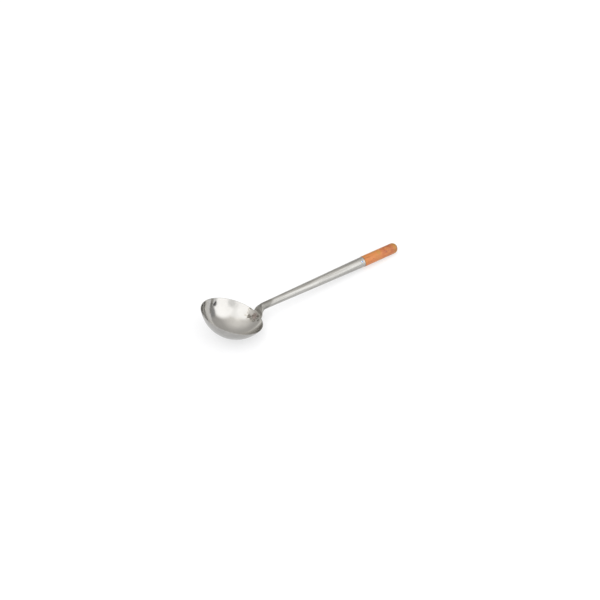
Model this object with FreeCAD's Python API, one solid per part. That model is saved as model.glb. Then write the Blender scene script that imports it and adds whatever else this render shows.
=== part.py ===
import FreeCAD, Part
import math
import os

Vector = FreeCAD.Vector

# Wok ladle: a pressed bowl, a rolled tapered tube whose flattened neck is welded to the
# outside of the bowl, and a turned wooden grip plugged into the tube and nailed there.
#
# It is drawn upright first: bowl axis on Z, rim plane at z = 0, handle in the XZ plane
# towards +X. It is then leaned over until the bowl and the grip's end stand on z = 0.

# Driving dimensions, in millimetres and degrees.
bowl_diameter = 127.0       # outside, at the rim
bowl_depth = 41.5           # outside, from the rim plane to the bottom
bowl_sheet = 1.2
bowl_edge = 0.45            # radius of the rim's two rounded corners

tube_sheet = 1.0
neck_diameter = 14.5        # where the round tube begins, after the bend
tube_end_diameter = 22.6
tube_length = 248.5         # round, tapered stretch
handle_rise = 23.8          # angle between the tube and the rim plane
bend_radius = 11.0          # from the neck over to the tube
neck_slope = 98.0           # of the straight neck, past upright over the bowl
neck_straight = 4.5
fold_radius = 6.0           # from the bowl's wall up to the neck
tongue_width = 28.0
tongue_length = 27.0        # flattened stretch below the rim
tongue_bite = 0.15          # taken off its inner sheet, which is pressed to the bowl's curve
width_delay = 1.15          # the higher, the later along the neck its width narrows
thickness_delay = 2.2       # and the later it opens to a round tube
flat_squareness = 3.4       # exponent of the flattened section's outline, 2 for an ellipse
seam_width = 0.7            # groove of the butted seam along the tube's underside
seam_depth = 0.45

grip_diameter = 23.4
grip_length = 93.0          # outside the tube, to the tip
grip_end_radius = 10.6
grip_chamfer = 0.5          # beside the tube
tenon_length = 42.0
tenon_chamfer = 2.0
tenon_clearance = 0.1

nail_shank_diameter = 1.9
nail_depth = 13.0           # below the tube's outer face
nail_head_diameter = 4.6
nail_head_height = 1.1
nail_brim_height = 0.28     # upright edge of the head, under its crown
nail_setback = 7.0          # from the tube's open end
nail_turn = 42.0            # from the top of the tube, towards -Y
nail_clearance = 0.05

weld_diameter = 5.0         # spot-weld dimples on the inside of the bowl
weld_dimple = 0.25
weld_rows = 2               # of two dimples each
weld_spacing = 9.5
weld_drop = 7.0             # first row below the rim, measured along the wall
weld_row_step = 9.0

section_points = 32         # round the outline of one section of the neck
tip_sections = 5            # along the tongue's rounded tip
tongue_sections = 2         # from there to the rim
bend_sections = 10          # from the rim to the round tube

# Sizes that follow from them.
rim_radius = bowl_diameter / 2
ball_radius = (rim_radius ** 2 + bowl_depth ** 2) / (2 * bowl_depth)
ball_height = ball_radius - bowl_depth
ball_centre = Vector(0, 0, ball_height)
rim_slope = math.degrees(math.acos(ball_height / ball_radius))
neck_radius = neck_diameter / 2
tube_end_radius = tube_end_diameter / 2
tube_taper = (tube_end_radius - neck_radius) / tube_length
grip_radius = grip_diameter / 2


def direction(slope):
    """Unit vector in the XZ plane at this slope above the rim plane."""
    return Vector(math.cos(math.radians(slope)), 0, math.sin(math.radians(slope)))


def normal(slope):
    """Unit vector a quarter turn on from direction(slope)."""
    return direction(slope + 90)


# The neck's middle line: up the bowl's outer wall about one sheet outside it, folded steeper
# at the rim, straight up, then over a bend to the tube.
wall_radius = ball_radius + tube_sheet - tongue_bite
fold_end = math.radians(neck_slope - rim_slope) * fold_radius
bend_start = fold_end + neck_straight
round_at = bend_start + math.radians(neck_slope - handle_rise) * bend_radius
rim_point = ball_centre - normal(rim_slope) * wall_radius
fold_centre = rim_point + normal(rim_slope) * fold_radius
fold_point = fold_centre - normal(neck_slope) * fold_radius
bend_point = fold_point + direction(neck_slope) * neck_straight
bend_centre = bend_point - normal(neck_slope) * bend_radius
tube_start = bend_centre + normal(handle_rise) * bend_radius
handle_axis = direction(handle_rise)
tube_end = tube_start + handle_axis * tube_length


def neck_path(distance):
    """Point and slope on the neck's middle line, this far beyond the rim."""
    if distance < 0:
        slope = rim_slope + math.degrees(distance / wall_radius)
        return ball_centre - normal(slope) * wall_radius, slope
    if distance < fold_end:
        slope = rim_slope + math.degrees(distance / fold_radius)
        return fold_centre - normal(slope) * fold_radius, slope
    if distance < bend_start:
        return fold_point + direction(neck_slope) * (distance - fold_end), neck_slope
    slope = neck_slope - math.degrees((distance - bend_start) / bend_radius)
    return bend_centre + normal(slope) * bend_radius, slope


def neck_opening(distance, delay):
    """How far the flattened tube has opened: 0 flat, 1 round."""
    share = min(1.0, max(0.0, distance / round_at)) ** delay
    return share * share * (3 - 2 * share)


def half_thickness(distance):
    """Two sheets pressed together on the bowl, the full radius where the tube is round."""
    return tube_sheet + (neck_radius - tube_sheet) * neck_opening(distance, thickness_delay)


def half_width(distance):
    """The full radius where the tube is round, splayed below; the tongue's tip is rounded."""
    splay = tongue_width / 2 - neck_radius
    wide = neck_radius + splay * (1 - neck_opening(distance, width_delay))
    to_tip = tongue_length + distance
    if to_tip < wide:
        wide *= math.sqrt(1 - (1 - to_tip / wide) ** 2)
    return wide


def even_steps(start, end, count):
    """Places that divide the way from start to end evenly, without start itself."""
    return [start + (end - start) * step / count for step in range(1, count + 1)]


def line(start, end):
    return Part.LineSegment(start, end).toShape()


def arc(start, middle, end):
    return Part.Arc(start, middle, end).toShape()


def corner(centre, start, end):
    """Arc of a rounded corner, the short way round its centre."""
    halfway = (start - centre) + (end - centre)
    return arc(start, centre + halfway.normalize() * start.distanceToPoint(centre), end)


def polygon(points):
    return Part.makePolygon(points + points[:1])


def turned(edges):
    """Solid of revolution about Z from the edges of a closed half profile."""
    return Part.Face(Part.Wire(edges)).revolve(Vector(), Vector(0, 0, 1), 360)


def on_handle(shape):
    """Moves a shape from a frame of its own to the handle.

    That frame has z = 0 at the tube's open end, +Z to the grip's tip and -X on top.
    """
    turn = FreeCAD.Rotation(Vector(0, 1, 0), 90 - handle_rise)
    shape.Placement = FreeCAD.Placement(tube_end, turn).multiply(shape.Placement)
    return shape


def wall_arc(radius, top):
    """Arc of the bowl's wall at this ball radius, from its bottom up to the point top."""
    slope = math.degrees(math.acos((ball_height - top.z) / radius))
    bottom, middle = [ball_centre - normal(at) * radius for at in (0, slope / 2)]
    return bottom, arc(bottom, middle, top)


def tongue_seat():
    """Cutter for the tongue's inner face: the bowl as if solid, up to its rim plane."""
    top, middle = Vector(rim_radius, 0, 0), Vector()
    bottom, wall = wall_arc(ball_radius, top)
    return turned([wall, line(top, middle), line(middle, bottom)])


def rim_corner(radius, side):
    """Rounded corner where the wall at this ball radius meets the flat of the rim.

    side is 1 on the outside of the sheet and -1 on the inside. Gives the corner's arc, from
    the wall to the flat, and its two ends.
    """
    reach = radius - side * bowl_edge
    centre = Vector(math.sqrt(reach ** 2 - (ball_height + bowl_edge) ** 2), 0, -bowl_edge)
    on_wall = ball_centre + (centre - ball_centre) * (radius / reach)
    on_flat = Vector(centre.x, 0, 0)
    return corner(centre, on_wall, on_flat), on_wall, on_flat


def weld_dimples():
    """Shallow round marks of the spot welds, as ball cutters on the bowl's inner face."""
    inner_radius = ball_radius - bowl_sheet
    cutter_radius = (weld_diameter ** 2 / 4 + weld_dimple ** 2) / (2 * weld_dimple)
    for row in range(weld_rows):
        slope = rim_slope - math.degrees((weld_drop + row * weld_row_step) / ball_radius)
        for side in (-1, 1):
            turn = side * weld_spacing / 2 / inner_radius
            outward = Vector(0, math.sin(turn), 0) - normal(slope) * math.cos(turn)
            reach = inner_radius + weld_dimple - cutter_radius
            yield Part.makeSphere(cutter_radius, ball_centre + outward * reach)


def bowl():
    """One pressing: a spherical cap of even sheet with a rounded edge."""
    inner_radius = ball_radius - bowl_sheet
    outer_corner, outer_top, flat_start = rim_corner(ball_radius, 1)
    inner_corner, inner_top, flat_end = rim_corner(inner_radius, -1)
    outer_bottom, outside = wall_arc(ball_radius, outer_top)
    inner_bottom, inside = wall_arc(inner_radius, inner_top)
    flat = line(flat_start, flat_end)
    axis = line(inner_bottom, outer_bottom)
    shell = turned([outside, outer_corner, flat, inner_corner, inside, axis])
    for dimple in weld_dimples():
        shell = shell.cut(dimple)
    return shell


def neck_section(distance, skin):
    """Closed outline of the neck at this distance, skin inside its outer face."""
    point, slope = neck_path(distance)
    opening = neck_opening(distance, width_delay)
    if opening == 1:
        circle = Part.Circle(point, handle_axis, neck_radius - skin)
        circle.XAxis = Vector(0, 1, 0)
        return Part.Wire(circle.toShape())
    power = 2 / (flat_squareness + (2 - flat_squareness) * opening)
    wide = half_width(distance) - skin
    thick = half_thickness(distance) - skin
    turns = [2 * math.pi * step / section_points for step in range(section_points + 1)]
    outline = []
    for turn in turns[:-1]:
        across = math.copysign(abs(math.cos(turn)) ** power, math.cos(turn)) * wide
        through = math.copysign(abs(math.sin(turn)) ** power, math.sin(turn)) * thick
        wrap = wall_radius - math.sqrt(wall_radius ** 2 - across ** 2)
        outline.append(point + Vector(0, across, 0) + normal(slope) * (through + wrap * (1 - opening)))
    curve = Part.BSplineCurve()
    curve.interpolate(Points=outline, PeriodicFlag=True, Parameters=turns)
    return Part.Wire(curve.toShape())


def neck_and_tube(stations, skin):
    """Neck lofted through these stations and the round tube, skin inside the outer face."""
    neck = Part.makeLoft([neck_section(at, skin) for at in stations], True)
    ends = neck_radius - skin, tube_end_radius - skin
    return neck.fuse(Part.makeCone(*ends, tube_length, tube_start, handle_axis))


def seam_section(middle, slope, radius):
    """V-shaped cut in the underside of a tube of this radius."""
    down = normal(slope) * -1
    side = Vector(0, seam_width / 2, 0)
    mouth = middle + down * radius
    lip = middle + down * (radius + seam_depth)
    return polygon([mouth - down * seam_depth, lip + side * 2, lip - side * 2])


def seam_cutters():
    """Grooves of the seam along the neck and along the round tube."""
    bend = even_steps(0, round_at, bend_sections)
    neck_cut = Part.makeLoft([seam_section(*neck_path(at), half_thickness(at)) for at in bend], True)
    start = seam_section(tube_start, handle_rise, neck_radius)
    end = seam_section(tube_end, handle_rise, tube_end_radius)
    return neck_cut, Part.makeLoft([start, end], True, True)


def at_nail(shape):
    """Moves a shape from the nail's own frame to the handle.

    That frame has z = 0 on the tube's outer face and +Z out along the nail.
    """
    spin = FreeCAD.Rotation(Vector(0, 0, 1), nail_turn)
    tilt = FreeCAD.Rotation(Vector(0, 1, 0), -90 - math.degrees(math.atan(tube_taper)))
    face = Vector(tube_taper * nail_setback - tube_end_radius, 0, 0)
    foot = spin.multVec(face) + Vector(0, 0, -nail_setback)
    shape.Placement = FreeCAD.Placement(foot, spin.multiply(tilt))
    return on_handle(shape)


def nail_hole():
    """Hole through the tube's wall and into the tenon."""
    radius = nail_shank_diameter / 2 + nail_clearance
    return at_nail(Part.makeCylinder(radius, nail_depth + tube_sheet, Vector(0, 0, -nail_depth)))


def handle_tube():
    """Rolled tube with its bent neck, flattened to a tongue on the bowl's outer wall."""
    tip_length = half_width(-tongue_length / 2)
    turns = even_steps(0, math.pi / 2, tip_sections)
    tip = [tip_length * (1 - math.cos(turn)) - tongue_length for turn in turns]
    tongue = even_steps(tip[-1], 0, tongue_sections)
    bend = even_steps(0, round_at, bend_sections)
    hollow = [at for at in bend if half_thickness(at) > 2 * tube_sheet]
    tube = neck_and_tube(tip + tongue + bend, 0).cut(neck_and_tube(hollow, tube_sheet))
    tube = tube.cut(tongue_seat())
    for cutter in seam_cutters():
        tube = tube.cut(cutter)
    return tube.cut(nail_hole())


def grip():
    """Turned plug: tapered tenon, shoulder against the tube, round grip, domed end."""
    bore = tube_end_radius - tube_sheet - tenon_clearance
    tenon_end = bore - tube_taper * tenon_length - tenon_chamfer
    dome = grip_radius - grip_end_radius
    dome_base = grip_length - grip_end_radius
    diagonal = grip_end_radius * math.sqrt(0.5)
    points = [
        Vector(0, 0, -tenon_length),
        Vector(tenon_end, 0, -tenon_length),
        Vector(tenon_end + tenon_chamfer, 0, tenon_chamfer - tenon_length),
        Vector(bore, 0, 0),
        Vector(grip_radius - grip_chamfer, 0, 0),
        Vector(grip_radius, 0, grip_chamfer),
        Vector(grip_radius, 0, dome_base),
    ]
    edges = [line(start, end) for start, end in zip(points, points[1:])]
    tip = Vector(dome, 0, grip_length)
    edges.append(arc(points[-1], Vector(dome + diagonal, 0, dome_base + diagonal), tip))
    edges.append(line(tip, Vector(0, 0, grip_length)))
    edges.append(line(Vector(0, 0, grip_length), points[0]))
    return on_handle(turned(edges)).cut(nail_hole())


def grip_nail():
    """Round-headed nail whose head lies on the tube."""
    shank = nail_shank_diameter / 2
    head = nail_head_diameter / 2
    crown = nail_head_height - nail_brim_height
    crown_radius = (head ** 2 + crown ** 2) / (2 * crown)
    half_way = head / 2
    half_height = nail_head_height - crown_radius + math.sqrt(crown_radius ** 2 - half_way ** 2)
    points = [
        Vector(0, 0, -nail_depth),
        Vector(shank, 0, shank - nail_depth),
        Vector(shank, 0, 0),
        Vector(head, 0, 0),
        Vector(head, 0, nail_brim_height),
    ]
    top = Vector(0, 0, nail_head_height)
    edges = [line(start, end) for start, end in zip(points, points[1:])]
    edges.append(arc(points[-1], Vector(half_way, 0, half_height), top))
    edges.append(line(top, points[0]))
    return at_nail(turned(edges))


def lean():
    """Turn about Y that brings the bowl's bottom and the grip's end to one level."""
    end_middle = tube_end + handle_axis * (grip_length - grip_end_radius)
    end_middle -= normal(handle_rise) * (grip_radius - grip_end_radius)
    reach = end_middle - ball_centre
    drawn = math.atan2(reach.z, reach.x)
    level = math.asin((grip_end_radius - ball_radius) / reach.Length)
    return math.degrees(drawn - level)


def stand(shapes):
    """Leans the ladle over and puts the middle of its footprint on the origin."""
    turn = FreeCAD.Rotation(Vector(0, 1, 0), lean())
    down = FreeCAD.Placement(Vector(), turn, ball_centre)
    for shape in shapes.values():
        shape.Placement = down.multiply(shape.Placement)
    left = shapes["bowl"].optimalBoundingBox().XMin
    right = shapes["grip"].optimalBoundingBox().XMax
    shift = Vector(-(left + right) / 2, 0, ball_radius - ball_height)
    for shape in shapes.values():
        shape.translate(shift)


ladle = {
    "bowl": bowl(),
    "handle_tube": handle_tube(),
    "grip": grip(),
    "grip_nail": grip_nail(),
}
stand(ladle)
os.makedirs("parts", exist_ok=True)
for node, shape in ladle.items():
    solid, = shape.Solids
    solid.exportStep("parts/" + node + ".step")
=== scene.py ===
import bpy
import bmesh
import math
from mathutils import Matrix, Vector


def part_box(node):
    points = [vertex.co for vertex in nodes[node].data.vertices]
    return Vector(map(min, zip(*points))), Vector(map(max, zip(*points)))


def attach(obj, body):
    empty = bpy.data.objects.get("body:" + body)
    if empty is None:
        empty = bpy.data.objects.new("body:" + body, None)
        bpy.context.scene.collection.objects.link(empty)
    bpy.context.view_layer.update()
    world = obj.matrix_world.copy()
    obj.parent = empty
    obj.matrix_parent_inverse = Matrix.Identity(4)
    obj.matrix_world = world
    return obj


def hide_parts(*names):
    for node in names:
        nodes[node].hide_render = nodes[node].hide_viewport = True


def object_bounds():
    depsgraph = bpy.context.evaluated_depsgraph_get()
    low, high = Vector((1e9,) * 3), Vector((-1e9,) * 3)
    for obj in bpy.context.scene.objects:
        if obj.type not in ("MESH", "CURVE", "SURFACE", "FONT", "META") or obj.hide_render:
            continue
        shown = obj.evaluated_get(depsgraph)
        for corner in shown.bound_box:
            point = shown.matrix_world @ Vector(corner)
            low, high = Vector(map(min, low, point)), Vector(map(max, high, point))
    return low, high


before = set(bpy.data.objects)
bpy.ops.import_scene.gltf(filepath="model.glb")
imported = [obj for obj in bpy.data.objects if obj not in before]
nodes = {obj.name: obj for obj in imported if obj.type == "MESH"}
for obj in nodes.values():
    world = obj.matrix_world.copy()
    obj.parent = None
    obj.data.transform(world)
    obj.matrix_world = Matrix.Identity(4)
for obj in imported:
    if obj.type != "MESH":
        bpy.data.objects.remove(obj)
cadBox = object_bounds()
print("frame loaded:", sorted(nodes))


# short forms for shader nodes, most of which give back a socket

def newMaterial(name):
    mat = bpy.data.materials.new(name)
    mat.use_nodes = True
    tree = mat.node_tree
    return mat, tree, tree.nodes["Principled BSDF"]


def addNode(tree, kind, inputs=None, **settings):
    node = tree.nodes.new(kind)
    for key, value in settings.items():
        setattr(node, key, value)
    for key, value in (inputs or {}).items():
        if isinstance(value, bpy.types.NodeSocket):
            tree.links.new(value, node.inputs[key])
        else:
            node.inputs[key].default_value = value
    return node


def maths(tree, operation, *values):
    return addNode(tree, "ShaderNodeMath", dict(enumerate(values)), operation=operation).outputs[0]


def mapRange(tree, value, low, high, toLow=0.0, toHigh=1.0, kind="SMOOTHSTEP"):
    inputs = {"Value": value, "From Min": low, "From Max": high, "To Min": toLow, "To Max": toHigh}
    return addNode(tree, "ShaderNodeMapRange", inputs, interpolation_type=kind).outputs["Result"]


# 1 on a stretch that fades in over one range of the value and out over the other
def between(tree, value, fadeIn, fadeOut):
    return maths(tree, "MULTIPLY", mapRange(tree, value, *fadeIn), mapRange(tree, value, *fadeOut, 1, 0))


# the Mix node's colour sockets share their names with its other kinds, so they go by number
def mixColour(tree, share, first, second, blend="MIX"):
    node = addNode(tree, "ShaderNodeMix", {"Factor": share}, data_type="RGBA", blend_type=blend)
    firstColour, secondColour = node.inputs[6], node.inputs[7]
    for socket, value in ((firstColour, first), (secondColour, second)):
        if isinstance(value, bpy.types.NodeSocket):
            tree.links.new(value, socket)
        else:
            socket.default_value = (*value, 1)
    return node.outputs[2]


# the tone with another laid over it where the mask is
def lay(tree, tone, over, mask, strength=1.0, blend="MIX"):
    return mixColour(tree, maths(tree, "MULTIPLY", mask, strength), tone, over, blend)


# object coordinates in a frame of the piece's own: its origin moved, and turned about Y by degrees
def localCoords(tree, origin, turn):
    coords = addNode(tree, "ShaderNodeTexCoord").outputs["Object"]
    inputs = {"Vector": coords, "Location": origin, "Rotation": (0, math.radians(turn), 0)}
    return addNode(tree, "ShaderNodeMapping", inputs, vector_type="TEXTURE").outputs[0]


# a pattern is its scale, which may differ from axis to axis, its detail and its roughness
def noiseAt(tree, vector, pattern, output="Fac"):
    scale, detail, roughness = pattern
    if isinstance(scale, tuple):
        vector = addNode(tree, "ShaderNodeMapping", {"Vector": vector, "Scale": scale}).outputs[0]
        scale = 1
    inputs = {"Vector": vector, "Scale": scale, "Detail": detail, "Roughness": roughness}
    return addNode(tree, "ShaderNodeTexNoise", inputs).outputs[output]


def distanceTo(tree, vector, point):
    inputs = {0: vector, 1: point}
    return addNode(tree, "ShaderNodeVectorMath", inputs, operation="DISTANCE").outputs["Value"]


# relief is the bump's strength and its depth in metres
def bump(tree, height, relief, under=None):
    strength, depth = relief
    inputs = {"Height": height, "Strength": strength, "Distance": depth}
    if under:
        inputs["Normal"] = under
    return addNode(tree, "ShaderNodeBump", inputs).outputs[0]


# meshes, and the nodes that they stand for

def makePiece(bm, name, material):
    mesh = bpy.data.meshes.new(name)
    bm.to_mesh(mesh)
    bm.free()
    mesh.materials.append(material)
    piece = bpy.data.objects.new(name, mesh)
    bpy.context.scene.collection.objects.link(piece)
    return piece


def standsFor(piece, node):
    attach(piece, "root")
    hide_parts(node)


def shadeSmooth(bm, sharpFrom):
    for face in bm.faces:
        face.smooth = True
    for edge in bm.edges:
        edge.smooth = len(edge.link_faces) == 2 and edge.calc_face_angle() < math.radians(sharpFrom)


# CAD nodes are loose triangles, so a merged copy is what can be shaded smooth
def mergedCopy(node, mergeWithin=2e-6, sharpFrom=35):
    bm = bmesh.new()
    bm.from_mesh(nodes[node].data)
    bmesh.ops.remove_doubles(bm, verts=bm.verts, dist=mergeWithin)
    shadeSmooth(bm, sharpFrom)
    return bm


# moves the mesh until its box has the same middle as the node's, and gives back the move
def centreOn(bm, node):
    low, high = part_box(node)
    xs, ys, zs = zip(*(v.co for v in bm.verts))
    middle = Vector(((min(xs) + max(xs)) / 2, (min(ys) + max(ys)) / 2, (min(zs) + max(zs)) / 2))
    move = (low + high) / 2 - middle
    bmesh.ops.translate(bm, verts=bm.verts, vec=move)
    return move


bowl = {
    "diameter": 0.127,
    "depth": 0.0415,
    "sheet": 0.0012,
    "edge": 0.00045,            # radius of the rim's two corners
    "lean": 26.885,             # degrees, rim tipped down towards the handle
    "around": 400,
    "wallSteps": 84,
    "cornerSteps": 5,
    "mergeWithin": 1e-6,
    "sharpFrom": 60,
}

welds = {
    "diameter": 0.005,
    "dimple": 0.00025,
    "spacing": 0.0095,
    "drop": 0.007,              # first row below the rim, along the wall
    "rowStep": 0.009,
    "rows": 2,
    "ring": ((0.0012, 0.0022), (0.0026, 0.0036)),    # burnt ring, from the middle out
    "burnTone": (0.09, 0.08, 0.065),
}

# the bowl is made upright, with its rim plane at z = 0, and leans only at the end
rimRadius = bowl["diameter"] / 2
ballRadius = (rimRadius ** 2 + bowl["depth"] ** 2) / (2 * bowl["depth"])
ballHeight = ballRadius - bowl["depth"]
ballCentre = Vector((0, 0, ballHeight))
rimSlope = math.acos(ballHeight / ballRadius)
innerRadius = ballRadius - bowl["sheet"]
wallMiddle = ballRadius - bowl["sheet"] / 2


# point on the inner wall, so far across the handle's plane and so far below the rim
def onWall(across, drop):
    slope = rimSlope - drop / ballRadius
    turn = across / innerRadius
    outward = (math.sin(slope) * math.cos(turn), math.sin(turn), -math.cos(slope) * math.cos(turn))
    return ballCentre + Vector(outward) * innerRadius


def weldPoints():
    for row in range(welds["rows"]):
        for side in (-1, 1):
            yield onWall(side * welds["spacing"] / 2, welds["drop"] + row * welds["rowStep"])


# one corner of the rim: its centre and the slope at which the wall runs into it
def rimCorner(radius, side):
    reach = radius - side * bowl["edge"]
    rise = ballHeight + bowl["edge"]
    return Vector((math.sqrt(reach ** 2 - rise ** 2), 0, -bowl["edge"])), math.acos(rise / reach)


# carries the end of the outline round a centre, and gives back the new end
def sweep(bm, vert, centre, angle, steps):
    made = bmesh.ops.spin(bm, geom=[vert], cent=centre, axis=(0, 1, 0), dvec=(0, 0, 0),
                          angle=angle, steps=steps, use_merge=False)
    return next(part for part in made["geom_last"] if isinstance(part, bmesh.types.BMVert))


# shallow dimple of one spot weld in the bowl's inner face
def pressWeld(bm, point):
    reach = welds["diameter"] / 2
    for vert in bm.verts:
        away = (vert.co - point).length
        outward = vert.co - ballCentre
        if away < reach and outward.length < wallMiddle:
            vert.co += outward.normalized() * welds["dimple"] * (1 - (away / reach) ** 2)


# the outline runs up the outside, over the rim and down the inside, and is spun round the axis
def pressBowl():
    bm = bmesh.new()
    outerCorner, outerSlope = rimCorner(ballRadius, 1)
    innerCorner, innerSlope = rimCorner(innerRadius, -1)
    vert = bm.verts.new((0, 0, -bowl["depth"]))
    vert = sweep(bm, vert, ballCentre, -outerSlope, bowl["wallSteps"])
    vert = sweep(bm, vert, outerCorner, outerSlope - math.pi, bowl["cornerSteps"])
    acrossRim = bmesh.ops.extrude_vert_indiv(bm, verts=[vert])["verts"][0]
    acrossRim.co.x = innerCorner.x
    vert = sweep(bm, acrossRim, innerCorner, -innerSlope, bowl["cornerSteps"])
    sweep(bm, vert, ballCentre, innerSlope, bowl["wallSteps"])
    bmesh.ops.spin(bm, geom=bm.verts[:] + bm.edges[:], cent=(0, 0, 0), axis=(0, 0, 1), dvec=(0, 0, 0),
                   angle=2 * math.pi, steps=bowl["around"], use_merge=True)
    bmesh.ops.remove_doubles(bm, verts=bm.verts, dist=bowl["mergeWithin"])
    bmesh.ops.recalc_face_normals(bm, faces=bm.faces)
    for point in weldPoints():
        pressWeld(bm, point)
    shadeSmooth(bm, bowl["sharpFrom"])
    leanTurn = Matrix.Rotation(math.radians(bowl["lean"]), 4, "Y")
    bmesh.ops.transform(bm, matrix=leanTurn, verts=bm.verts)
    return bm, centreOn(bm, "bowl")


bowlFinish = {
    # two numbers say where in its pattern a mark fades in, and two more how strong it is there
    "tone": (0.51, 0.50, 0.48),
    "outsidePaintedShade": 0.74,               # of the tone: painted shade that darkens the outside face, standing in for its darker reflections
    "smudges": (55, 4, 0.6),
    "smudged": (0.3, 0.7),
    "smudgeShade": (0.94, 0.90),        # inside, outside
    "rings": (1, 3, 0.7),               # of polishing
    "ringPitch": (900, 1400),           # per metre of radius and of height
    "scratches": ((60, 2600, 2600), 2, 0.5),
    "scratched": (0.69, 0.74),
    "scratchTurn": 0.6,                 # radians, round the bowl's axis
    "waves": (38, 2, 0.4),
    "roughness": (0.35, 0.75, 0.07, 0.15),
    "rougher": {"rings": 0.07, "scratches": 0.10, "outside": 0.08, "heat": 0.22},
    "waveRelief": (0.35, 0.0004),
    "ringRelief": (0.5, 0.000004),
    "burnRelief": (0.4, 0.0001),
}

heat = {
    # marks of the welding inside the bowl, with places across and down from the rim
    "scaleAt": (0.0080, 0.0065),
    "scaleReach": 0.0140,
    "scaleTone": (0.30, 0.285, 0.26),
    "scaleCover": (0.3, 0.7, 0.95, 0.6),
    "speckle": (420, 4, 0.65),
    "strawEdge": ((0.0, 0.35), (0.35, 0.75)),
    "strawTone": (0.86, 0.78, 0.62),
    "strawStrength": 0.5,
    "flushAt": (0.0025, 0.0080),        # pinkish middle of the scale
    "flushReach": 0.0065,
    "flushTone": (0.31, 0.245, 0.225),
    "flushStrength": 0.7,
    "scorches": [
        # across, down from the rim, radius
        (0.0110, 0.0170, 0.0048),
        (-0.0125, 0.0085, 0.0028),
        (-0.0045, 0.0035, 0.0026),
        (0.0210, 0.0018, 0.0030),
        (0.0060, 0.0110, 0.0022),
    ],
    "burnStrength": 0.8,
    "frayed": (230, 4, 0.7),
    "fray": 2.4,                        # how far the edges wander, in radii
    "edge": (2.45, 1.8),
}


# the upright bowl's frame, on the bowl as it leans
def bowlCoords(tree, place):
    return localCoords(tree, place, bowl["lean"])


# dark rings that the spot welds leave in the sheet at this distance from the ball's centre
def weldRings(tree, inBowl, radius):
    rings = 0.0
    for point in weldPoints():
        away = distanceTo(tree, inBowl, ballCentre + (point - ballCentre) * (radius / innerRadius))
        rings = maths(tree, "MAXIMUM", rings, between(tree, away, *welds["ring"]))
    return rings


# 1 in the middle of a round mark with a ragged edge, 0 outside it
def mark(tree, inBowl, place, radius, frayed):
    away = distanceTo(tree, inBowl, onWall(*place))
    away = maths(tree, "MULTIPLY_ADD", frayed, radius * heat["fray"], away)
    none, full = heat["edge"]
    return mapRange(tree, away, radius * none, radius * full)


# heat scale, its pinkish middle, and burns
def heatMarks(tree, inBowl, outside):
    frayed = noiseAt(tree, inBowl, heat["frayed"])
    scale = mark(tree, inBowl, heat["scaleAt"], heat["scaleReach"], frayed)
    flush = mark(tree, inBowl, heat["flushAt"], heat["flushReach"], frayed)
    burn = weldRings(tree, inBowl, innerRadius)
    for *place, radius in heat["scorches"]:
        burn = maths(tree, "MAXIMUM", burn, mark(tree, inBowl, place, radius, frayed))
    return scale, flush, maths(tree, "MULTIPLY", burn, mapRange(tree, outside, 0, 1, 1, 0))


def bowlMaterial(place):
    mat, tree, shader = newMaterial("polishedBowlSteel")
    inBowl = bowlCoords(tree, place)
    radius = distanceTo(tree, inBowl, ballCentre)
    height = addNode(tree, "ShaderNodeSeparateXYZ", {0: inBowl}).outputs["Z"]
    halfChange = bowl["sheet"] / 10      # one face's finish, with the painted shade of the outside, gives way to the other's within the sheet
    outside = mapRange(tree, radius, wallMiddle - halfChange, wallMiddle + halfChange)
    smudge = noiseAt(tree, inBowl, bowlFinish["smudges"])

    radiusPitch, heightPitch = bowlFinish["ringPitch"]
    ringCoords = addNode(tree, "ShaderNodeCombineXYZ", {
        "X": maths(tree, "MULTIPLY", radius, radiusPitch),
        "Y": maths(tree, "MULTIPLY", height, heightPitch),
    }).outputs[0]
    rings = noiseAt(tree, ringCoords, bowlFinish["rings"])
    turn = {"Vector": inBowl, "Angle": bowlFinish["scratchTurn"]}
    turned = addNode(tree, "ShaderNodeVectorRotate", turn, rotation_type="Z_AXIS").outputs[0]
    scratches = mapRange(tree, noiseAt(tree, turned, bowlFinish["scratches"]), *bowlFinish["scratched"])

    scale, flush, burn = heatMarks(tree, inBowl, outside)
    straw = between(tree, scale, *heat["strawEdge"])
    speckle = noiseAt(tree, inBowl, heat["speckle"])
    cover = maths(tree, "MULTIPLY", scale, mapRange(tree, speckle, *heat["scaleCover"]))

    smudged = mapRange(tree, smudge, *bowlFinish["smudged"])
    bright = bowlFinish["tone"]
    # painted shade: the outside's tone is darkened, standing in for the darker reflections on that face
    paintedShadeOutside = [value * bowlFinish["outsidePaintedShade"] for value in bright]
    inner, outer = (mixColour(tree, smudged, clean, [value * shade for value in clean])
                    for clean, shade in zip((bright, paintedShadeOutside), bowlFinish["smudgeShade"]))
    tone = mixColour(tree, outside, inner, outer)
    tone = lay(tree, tone, heat["strawTone"], straw, heat["strawStrength"], "MULTIPLY")
    tone = lay(tree, tone, heat["scaleTone"], cover)
    tone = lay(tree, tone, heat["flushTone"], flush, heat["flushStrength"])
    tone = lay(tree, tone, welds["burnTone"], burn, heat["burnStrength"])
    tree.links.new(tone, shader.inputs["Base Color"])

    rough = mapRange(tree, smudge, *bowlFinish["roughness"])
    marks = {"rings": rings, "scratches": scratches, "outside": outside,
             "heat": maths(tree, "MAXIMUM", scale, burn)}
    for name, share in bowlFinish["rougher"].items():
        rough = maths(tree, "MULTIPLY_ADD", marks[name], share, rough)
    tree.links.new(rough, shader.inputs["Roughness"])

    relief = bump(tree, noiseAt(tree, inBowl, bowlFinish["waves"]), bowlFinish["waveRelief"])
    relief = bump(tree, rings, bowlFinish["ringRelief"], relief)
    tree.links.new(bump(tree, burn, bowlFinish["burnRelief"], relief), shader.inputs["Normal"])
    shader.inputs["Metallic"].default_value = 1
    return mat


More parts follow.
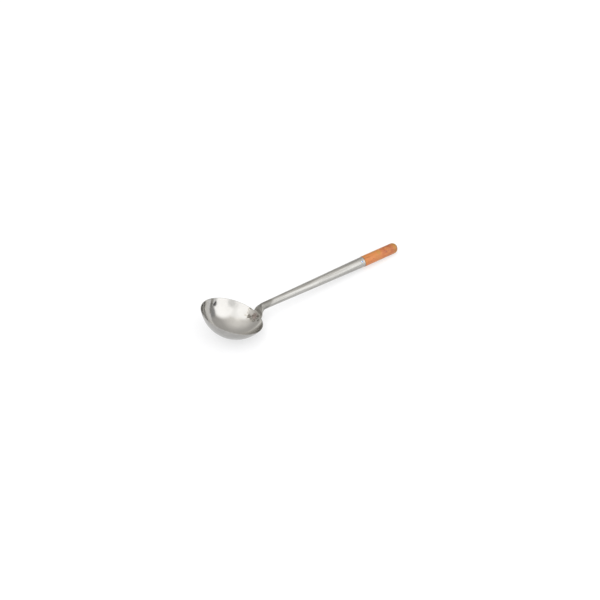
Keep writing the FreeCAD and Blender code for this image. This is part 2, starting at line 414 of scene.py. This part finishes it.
handle = {
    # tube, grip and nail share this frame: X along the tube from its round start
    "start": (-0.1064, 0, 0.0295),      # middle of the tube where it becomes round
    "length": 0.2485,
    "fall": 3.085,                      # degrees, down towards the grip
    "nailSetback": 0.007,
    "nailTurn": 42.0,                   # degrees, from the top towards -Y
    "nailReach": 0.0123,                # of its crown from the tube's axis
}


# the handle's frame, and in it the distances along the tube and up from its axis
def handleCoords(tree):
    coords = localCoords(tree, handle["start"], handle["fall"])
    parts = addNode(tree, "ShaderNodeSeparateXYZ", {0: coords}).outputs
    return coords, parts["X"], parts["Z"]


def nailCrown():
    turn = math.radians(handle["nailTurn"])
    reach = handle["nailReach"]
    return Vector((handle["length"] - handle["nailSetback"], -reach * math.sin(turn), reach * math.cos(turn)))


tubeFinish = {
    "tone": (0.45, 0.445, 0.425),
    "bands": ((10, 260, 260), 2, 0.5),
    "banded": (0.3, 0.7),
    "bandTone": (0.29, 0.285, 0.268),
    "streaks": ((14, 900, 900), 3, 0.65),
    "streaked": (0.38, 0.72, 0, 0.6),
    "streakTone": (0.62, 0.61, 0.59),
    "specks": (700, 3, 0.6),
    "worn": (0.58, 0.70, 0, 0.7),
    "wornTone": (0.22, 0.215, 0.20),
    "mottle": (260, 4, 0.65),
    # painted shade darkens the bend, up to a slanting line with a ragged edge where the highlight begins
    "paintedBendShadeSlant": -1.5,
    "paintedBendShadeFray": 0.008,
    "paintedBendShade": ((-0.014, -0.007), (0.009, 0.016)),
    "paintedBendShadeTone": (0.20, 0.195, 0.18),
    "paintedBendShadeStrength": 0.75,
    # dark line round the nail's head
    "nailEdge": (0.0038, 0.0029, 0, 0.7),
    "nailTone": (0.12, 0.115, 0.11),
    # scuffs thin out from the neck along the tube
    "scuffStretch": (0.034, -0.004),
    "scuffed": (0.46, 0.60),
    "scuffTone": (0.20, 0.19, 0.17),
    "scuffStrength": 0.25,
    # paler where the tube is pressed flat
    "neckStretch": (-0.006, -0.014),
    "neckCover": (0.3, 0.7, 0.6, 0.25),
    "neckTone": (0.78, 0.76, 0.72),
    # heat of the welds on the tongue
    "glowReach": (0.017, 0.007),
    "glowCover": (0.3, 0.6, 0.8, 0.3),
    "glowTone": (0.34, 0.285, 0.235),
    "outerFace": 0.002,                 # of the tongue, beyond the bowl's outer face
    "ringStrength": 0.75,
    "roughness": (0.3, 0.7, 0.24, 0.42),
    "neckRougher": 0.18,
    "dentRelief": (0.35, 0.00018),
    "streakRelief": (0.35, 0.00003),
}


def tubeMaterial(place):
    mat, tree, shader = newMaterial("brushedTubeSteel")
    onTube, along, up = handleCoords(tree)
    bands, streaks, specks, mottle = (noiseAt(tree, onTube, tubeFinish[name])
                                      for name in ("bands", "streaks", "specks", "mottle"))
    # painted shade over the bend, up to the slanting line where the tube's highlight begins
    slanted = maths(tree, "MULTIPLY_ADD", up, tubeFinish["paintedBendShadeSlant"], along)
    slanted = maths(tree, "MULTIPLY_ADD", mottle, tubeFinish["paintedBendShadeFray"], slanted)
    paintedBendShade = between(tree, slanted, *tubeFinish["paintedBendShade"])
    scuffs = maths(tree, "MULTIPLY", mapRange(tree, mottle, *tubeFinish["scuffed"]),
                   mapRange(tree, along, *tubeFinish["scuffStretch"]))
    neck = mapRange(tree, along, *tubeFinish["neckStretch"])

    inBowl = bowlCoords(tree, place)
    weldMiddle = onWall(0, welds["drop"] + welds["rowStep"] / 2)
    glow = mapRange(tree, distanceTo(tree, inBowl, weldMiddle), *tubeFinish["glowReach"])
    rings = weldRings(tree, inBowl, ballRadius + tubeFinish["outerFace"])

    tone = tubeFinish["tone"]
    for over, mask in (
        ("bandTone", mapRange(tree, bands, *tubeFinish["banded"])),
        ("streakTone", mapRange(tree, streaks, *tubeFinish["streaked"])),
        ("wornTone", mapRange(tree, specks, *tubeFinish["worn"])),
        ("paintedBendShadeTone", maths(tree, "MULTIPLY", paintedBendShade, tubeFinish["paintedBendShadeStrength"])),
        ("nailTone", mapRange(tree, distanceTo(tree, onTube, nailCrown()), *tubeFinish["nailEdge"])),
        ("scuffTone", maths(tree, "MULTIPLY", scuffs, tubeFinish["scuffStrength"])),
        ("neckTone", maths(tree, "MULTIPLY", neck, mapRange(tree, specks, *tubeFinish["neckCover"]))),
        ("glowTone", maths(tree, "MULTIPLY", glow, mapRange(tree, mottle, *tubeFinish["glowCover"]))),
    ):
        tone = mixColour(tree, mask, tone, tubeFinish[over])
    tone = lay(tree, tone, welds["burnTone"], rings, tubeFinish["ringStrength"])
    tree.links.new(tone, shader.inputs["Base Color"])

    rough = mapRange(tree, streaks, *tubeFinish["roughness"])
    pressed = maths(tree, "MAXIMUM", scuffs, neck)
    rough = maths(tree, "MULTIPLY_ADD", pressed, tubeFinish["neckRougher"], rough)
    tree.links.new(rough, shader.inputs["Roughness"])
    dents = bump(tree, mottle, tubeFinish["dentRelief"])
    tree.links.new(bump(tree, streaks, tubeFinish["streakRelief"], dents), shader.inputs["Normal"])
    shader.inputs["Metallic"].default_value = 1
    return mat


grip = {
    "length": 0.093,
    "tones": {                   # the first is the wood's own, and the others lie over it
        "orange": (0.51, 0.172, 0.038),
        "red": (0.38, 0.098, 0.027),
        "yellow": (0.42, 0.190, 0.028),
        "pale": (0.53, 0.240, 0.090),
        "dark": (0.12, 0.045, 0.015),
    },
    "warp": (30, 2, 0.5),
    "warpReach": 0.006,
    "grain": ((22, 420, 420), 5, 0.65),
    "grained": (0.52, 0.72, 0, 0.50),
    "growth": ((5, 95, 95), 2, 0.5),
    "grown": (0.48, 0.64, 0, 0.30),
    "pores": ((160, 1500, 1500), 2, 0.5),
    "pored": (0.64, 0.72, 0, 0.65),
    "knocks": (330, 2, 0.5),
    "knocked": (0.70, 0.76, 0, 0.80),
    # the stain is uneven: stretches are measured from the shoulder, or from the tip and less than 0
    "clouds": ((34, 54.4, 54.4), 2, 0.5),
    "yellowBand": ((0.020, 0.031), (0.037, 0.050)),
    "yellowTip": (-0.020, -0.009),
    "yellowGain": 0.24,
    "yellowed": (0.60, 0.72, 0, 0.9),
    "blotches": ((51, 76.5, 76.5), 2, 0.5),
    "redFrom": (0.040, 0.056),
    "redTo": (-0.024, -0.010),
    "redUpwards": (-0.006, 0.007, 0.25, 1),
    "reddened": (0.36, 0.56),
    "paled": (0.60, 0.74, 0, 0.55),
    "handled": (-0.045, -0.020, 0, 0.17),
    # painted shade, not stain: the wood is darkened next to the tube and over its round tip, in stretches
    # measured the same way
    "shoulderPaintedShade": (0.0022, 0.0002),
    "tipPaintedShade": (-0.0085, -0.0008),
    "endPaintedShadeStrength": 0.65,
    "roughness": (0.35, 0.7, 0.38, 0.56),
    "coatWeight": 0.12,
    "coatRoughness": 0.35,
    "grainRelief": (0.35, 0.00012),
    "pitted": (0.62, 0.72, 1, 0),
    "pitRelief": (0.3, 0.0001),
}


def woodMaterial():
    mat, tree, shader = newMaterial("stainedGripWood")
    onTube, along, up = handleCoords(tree)
    fromShoulder = maths(tree, "SUBTRACT", along, handle["length"])
    fromTip = maths(tree, "SUBTRACT", fromShoulder, grip["length"])
    warp = {0: noiseAt(tree, onTube, grip["warp"], "Color"), 1: [grip["warpReach"]] * 3, 2: onTube}
    warped = addNode(tree, "ShaderNodeVectorMath", warp, operation="MULTIPLY_ADD").outputs[0]
    grain, growth, pores = (noiseAt(tree, warped, grip[name]) for name in ("grain", "growth", "pores"))
    clouds, blotches, knocks = (noiseAt(tree, onTube, grip[name])
                                for name in ("clouds", "blotches", "knocks"))

    yellow = maths(tree, "MAXIMUM", between(tree, fromShoulder, *grip["yellowBand"]),
                   mapRange(tree, fromTip, *grip["yellowTip"]))
    yellow = maths(tree, "MULTIPLY_ADD", yellow, grip["yellowGain"], clouds)
    red = mapRange(tree, blotches, *grip["reddened"])
    for limit in (
        mapRange(tree, fromShoulder, *grip["redFrom"]),
        mapRange(tree, fromTip, *grip["redTo"], 1, 0),
        mapRange(tree, up, *grip["redUpwards"]),
    ):
        red = maths(tree, "MULTIPLY", red, limit)
    # painted shade at both ends of the grip
    paintedShadeEnds = maths(tree, "MAXIMUM", mapRange(tree, fromShoulder, *grip["shoulderPaintedShade"]),
                 mapRange(tree, fromTip, *grip["tipPaintedShade"]))

    tones = grip["tones"]
    tone = tones["orange"]
    for over, mask in (
        ("yellow", mapRange(tree, yellow, *grip["yellowed"])),
        ("red", red),
        ("pale", mapRange(tree, blotches, *grip["paled"])),
        ("red", mapRange(tree, growth, *grip["grown"])),
        ("dark", mapRange(tree, grain, *grip["grained"])),
        ("dark", mapRange(tree, pores, *grip["pored"])),
        ("dark", mapRange(tree, knocks, *grip["knocked"])),
        ("dark", mapRange(tree, fromTip, *grip["handled"])),
    ):
        tone = mixColour(tree, mask, tone, tones[over])
    tone = lay(tree, tone, tones["dark"], paintedShadeEnds, grip["endPaintedShadeStrength"])
    tree.links.new(tone, shader.inputs["Base Color"])

    tree.links.new(mapRange(tree, grain, *grip["roughness"]), shader.inputs["Roughness"])
    shader.inputs["Coat Weight"].default_value = grip["coatWeight"]
    shader.inputs["Coat Roughness"].default_value = grip["coatRoughness"]
    turned = bump(tree, grain, grip["grainRelief"])
    pitted = bump(tree, mapRange(tree, pores, *grip["pitted"]), grip["pitRelief"], turned)
    tree.links.new(pitted, shader.inputs["Normal"])
    return mat


nail = {
    "tone": (0.92, 0.92, 0.92),
    "paintedReflectionEdge": (0.0019, 0.0012),      # of the painted reflection on the head, from its middle
    # blue painted reflection in the middle of the head
    "crownPaintedReflection": (0.14, 0.30, 0.60),
    "wear": (900, 3, 0.6),
    "worn": (0.55, 0.75, 0, 0.4),
    "wornTone": (0.5, 0.5, 0.5),
    "roughness": (0.3, 0.7, 0.18, 0.35),
    "metallic": 0.85,
}


def nailMaterial():
    mat, tree, shader = newMaterial("brightNailSteel")
    onTube = handleCoords(tree)[0]
    wear = noiseAt(tree, onTube, nail["wear"])
    # painted reflection: a blue spot on the middle of the nail's head
    paintedCrownReflection = mapRange(tree, distanceTo(tree, onTube, nailCrown()), *nail["paintedReflectionEdge"])
    tone = mixColour(tree, paintedCrownReflection, nail["tone"], nail["crownPaintedReflection"])
    tone = mixColour(tree, mapRange(tree, wear, *nail["worn"]), tone, nail["wornTone"])
    tree.links.new(tone, shader.inputs["Base Color"])
    tree.links.new(mapRange(tree, wear, *nail["roughness"]), shader.inputs["Roughness"])
    shader.inputs["Metallic"].default_value = nail["metallic"]
    return mat


bowlMesh, bowlPlace = pressBowl()
standsFor(makePiece(bowlMesh, "bowlPressing", bowlMaterial(bowlPlace)), "bowl")
print("bowl done")

for node, name, slot, material in (
    ("handle_tube", "handleTube", "tube_steel", tubeMaterial(bowlPlace)),
    ("grip", "woodenGrip", "grip_wood", woodMaterial()),
    ("grip_nail", "gripNail", "nail_steel", nailMaterial()),
):
    standsFor(makePiece(mergedCopy(node), name, material), node)
print("handle done")


studio = {
    "floorSize": 12.0,
    "floorColour": (0.92, 0.925, 0.945),
    "floorRoughness": 0.9,
    "floorShine": 0.2,
    "floorGlow": 0.55,          # share of plain white in the floor as seen, which thins the shadow
    "walls": [
        # elevation, level of light
        (-90, 0.5),
        (0, 0.56),
        (20, 0.62),
        (32, 0.66),
        (42, 0.79),
        (51, 0.96),
        (60, 1.1),
        (75, 1.2),
        (90, 1.6),
    ],
    "wallTint": (1.0, 0.98, 0.945),
    "panels": [
        # azimuth from the front, elevation, half angle, soft edge, level
        (-32, 50, 34, 16, 1.65),
        (30, 25, 31, 18, 1.9),
        (-86, 56, 23, 14, 1.85),
        (-14, 47, 7, 8, 1.5),
        (-6, 36, 8, 8, 1.25),
        (74, 0, 12, 8, 0.40),
        (49, 1, 6, 5, 0.12),
    ],
    "white": (1, 1, 1),
}


def skyward(azimuth, elevation):
    a, e = math.radians(azimuth), math.radians(elevation)
    return Vector((math.sin(a) * math.cos(e), -math.cos(a) * math.cos(e), math.sin(e)))


def makeWorld():
    world = bpy.data.worlds.new("studio")
    world.use_nodes = True
    tree = world.node_tree
    towards = addNode(tree, "ShaderNodeTexCoord").outputs["Generated"]
    rise = addNode(tree, "ShaderNodeSeparateXYZ", {0: towards}).outputs["Z"]
    walls = studio["walls"]
    level = walls[0][1]
    for (lowAngle, lowLevel), (highAngle, highLevel) in zip(walls, walls[1:]):
        low, high = math.sin(math.radians(lowAngle)), math.sin(math.radians(highAngle))
        gain = mapRange(tree, rise, low, high, 0, highLevel - lowLevel, "LINEAR")
        level = maths(tree, "ADD", level, gain)
    inPanels = 0.0
    for azimuth, elevation, half, soft, panelLevel in studio["panels"]:
        inputs = {0: towards, 1: skyward(azimuth, elevation)}
        facing = addNode(tree, "ShaderNodeVectorMath", inputs, operation="DOT_PRODUCT").outputs["Value"]
        share = mapRange(tree, facing, math.cos(math.radians(half + soft)), math.cos(math.radians(half)))
        level = maths(tree, "MULTIPLY_ADD", share, maths(tree, "SUBTRACT", panelLevel, level), level)
        inPanels = maths(tree, "MAXIMUM", inPanels, share)
    tint = mixColour(tree, inPanels, studio["wallTint"], studio["white"])
    colour = mixColour(tree, 1.0, level, tint, "MULTIPLY")
    seen = addNode(tree, "ShaderNodeLightPath").outputs["Is Camera Ray"]
    colour = mixColour(tree, seen, colour, studio["white"])
    tree.links.new(colour, tree.nodes["Background"].inputs["Color"])
    bpy.context.scene.world = world


def makeFloor():
    bm = bmesh.new()
    bmesh.ops.create_grid(bm, x_segments=1, y_segments=1, size=studio["floorSize"] / 2)
    bmesh.ops.translate(bm, verts=bm.verts, vec=(0, 0, cadBox[0].z))
    mat, tree, shader = newMaterial("paleFloor")
    shader.inputs["Base Color"].default_value = (*studio["floorColour"], 1)
    shader.inputs["Roughness"].default_value = studio["floorRoughness"]
    shader.inputs["Specular IOR Level"].default_value = studio["floorShine"]
    ray = addNode(tree, "ShaderNodeLightPath").outputs
    seen = maths(tree, "MAXIMUM", ray["Is Camera Ray"], ray["Is Glossy Ray"])
    share = maths(tree, "MULTIPLY", seen, studio["floorGlow"])
    glow = addNode(tree, "ShaderNodeEmission", {"Color": (*studio["white"], 1)}).outputs[0]
    surface = addNode(tree, "ShaderNodeMixShader", {0: share, 1: shader.outputs[0], 2: glow}).outputs[0]
    tree.links.new(surface, tree.nodes["Material Output"].inputs["Surface"])
    makePiece(bm, "floor", mat)


view = {
    "azimuth": -30.47,
    "elevation": 43.56,
    "roll": -3.23,
    "distance": 1.5,
    "lens": 44.4,
    "sensor": 36,                       # millimetres, as the lens
    "orbit": (-0.0553, 0, 0.025),       # point that azimuth and elevation are taken about
    "aim": (-0.0330, -0.0198, 0.0187),
}


def makeCamera():
    data = bpy.data.cameras.new("camera")
    data.lens = view["lens"]
    data.sensor_width = view["sensor"]
    camera = bpy.data.objects.new("camera", data)
    bpy.context.scene.collection.objects.link(camera)
    camera.location = Vector(view["orbit"]) + skyward(view["azimuth"], view["elevation"]) * view["distance"]
    aim = (Vector(view["aim"]) - camera.location).to_track_quat("-Z", "Y")
    roll = Matrix.Rotation(math.radians(view["roll"]), 3, "Z")
    camera.rotation_euler = (aim.to_matrix() @ roll).to_euler()
    bpy.context.scene.camera = camera


makeWorld()
makeFloor()
makeCamera()
bpy.context.scene.view_settings.view_transform = "Standard"
print("studio done")
